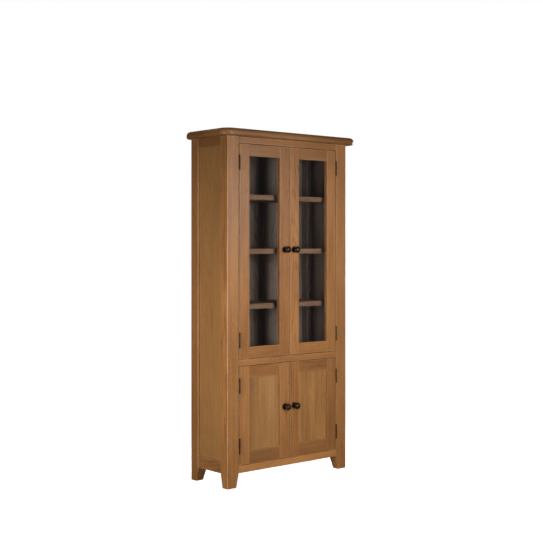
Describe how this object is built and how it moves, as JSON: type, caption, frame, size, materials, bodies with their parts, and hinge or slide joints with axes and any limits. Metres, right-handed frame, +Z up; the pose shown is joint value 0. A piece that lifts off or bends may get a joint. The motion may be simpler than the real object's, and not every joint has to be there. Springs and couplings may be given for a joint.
{
  "type": "pantry cabinet",
  "caption": "Tall oak storage cabinet: glazed display doors over panelled cupboard doors in a post and rail frame, with shelves, round knobs, tapered feet and a round-nosed top.",
  "frame": {"origin": "on the floor, under the middle of the outline of the top board", "axes": "+Z up from the floor, -Y out of the front (the doors), +X to the right as seen from the front"},
  "size_m": [0.914, 0.355, 1.8],
  "materials": {
    "oak": "waxed oak, satin",
    "glass": "clear float glass, polished",
    "dark_bronze": "dark antique bronze, worn satin",
    "brass": "dull brass",
    "steel": "zinc plated",
    "catch_plastic": "brown, matt"
  },
  "bodies": {
    "carcass": {"back_boards": "oak", "back_bottom_rail": "oak", "divider_board": "oak", "floor_board": "oak", "frame_hinge_leaves": "dark_bronze", "front_bottom_rail": "oak", "front_mid_rail": "oak", "front_top_rail": "oak", "hinge_pins": "dark_bronze", "magnetic_catches": "catch_plastic", "post_back_left": "oak", "post_back_right": "oak", "post_front_left": "oak", "post_front_right": "oak", "shelf_bottom": "oak", "shelf_lower": "oak", "shelf_middle": "oak", "shelf_pins": "brass", "shelf_top": "oak", "side_bottom_rail_left": "oak", "side_bottom_rail_right": "oak", "side_panel_left": "oak", "side_panel_right": "oak", "side_top_rail_left": "oak", "side_top_rail_right": "oak", "top_board": "oak"},
    "door_upper_left": {"upper_left_bottom_rail": "oak", "upper_left_glass": "glass", "upper_left_glazing_beads": "oak", "upper_left_hinge_leaves": "dark_bronze", "upper_left_hinge_stile": "oak", "upper_left_knob": "dark_bronze", "upper_left_meeting_stile": "oak", "upper_left_strike": "steel", "upper_left_top_rail": "oak"},
    "door_upper_right": {"upper_right_bottom_rail": "oak", "upper_right_glass": "glass", "upper_right_glazing_beads": "oak", "upper_right_hinge_leaves": "dark_bronze", "upper_right_hinge_stile": "oak", "upper_right_knob": "dark_bronze", "upper_right_meeting_stile": "oak", "upper_right_strike": "steel", "upper_right_top_rail": "oak"},
    "door_lower_left": {"lower_left_bottom_rail": "oak", "lower_left_hinge_leaves": "dark_bronze", "lower_left_hinge_stile": "oak", "lower_left_knob": "dark_bronze", "lower_left_meeting_stile": "oak", "lower_left_panel": "oak", "lower_left_strike": "steel", "lower_left_top_rail": "oak"},
    "door_lower_right": {"lower_right_bottom_rail": "oak", "lower_right_hinge_leaves": "dark_bronze", "lower_right_hinge_stile": "oak", "lower_right_knob": "dark_bronze", "lower_right_meeting_stile": "oak", "lower_right_panel": "oak", "lower_right_strike": "steel", "lower_right_top_rail": "oak"}
  },
  "joints": [
    {"name": "upper_left_door_swing", "type": "hinge", "parent": "carcass", "child": "door_upper_left", "pos_m": [-0.335, -0.1327, 1.18575], "axis": [0, 0, -1], "range_deg": [0, 110]},
    {"name": "upper_right_door_swing", "type": "hinge", "parent": "carcass", "child": "door_upper_right", "pos_m": [0.335, -0.1327, 1.18575], "axis": [0, 0, 1], "range_deg": [0, 110]},
    {"name": "lower_left_door_swing", "type": "hinge", "parent": "carcass", "child": "door_lower_left", "pos_m": [-0.335, -0.1327, 0.35875], "axis": [0, 0, -1], "range_deg": [0, 110]},
    {"name": "lower_right_door_swing", "type": "hinge", "parent": "carcass", "child": "door_lower_right", "pos_m": [0.335, -0.1327, 0.35875], "axis": [0, 0, 1], "range_deg": [0, 110]}
  ]
}
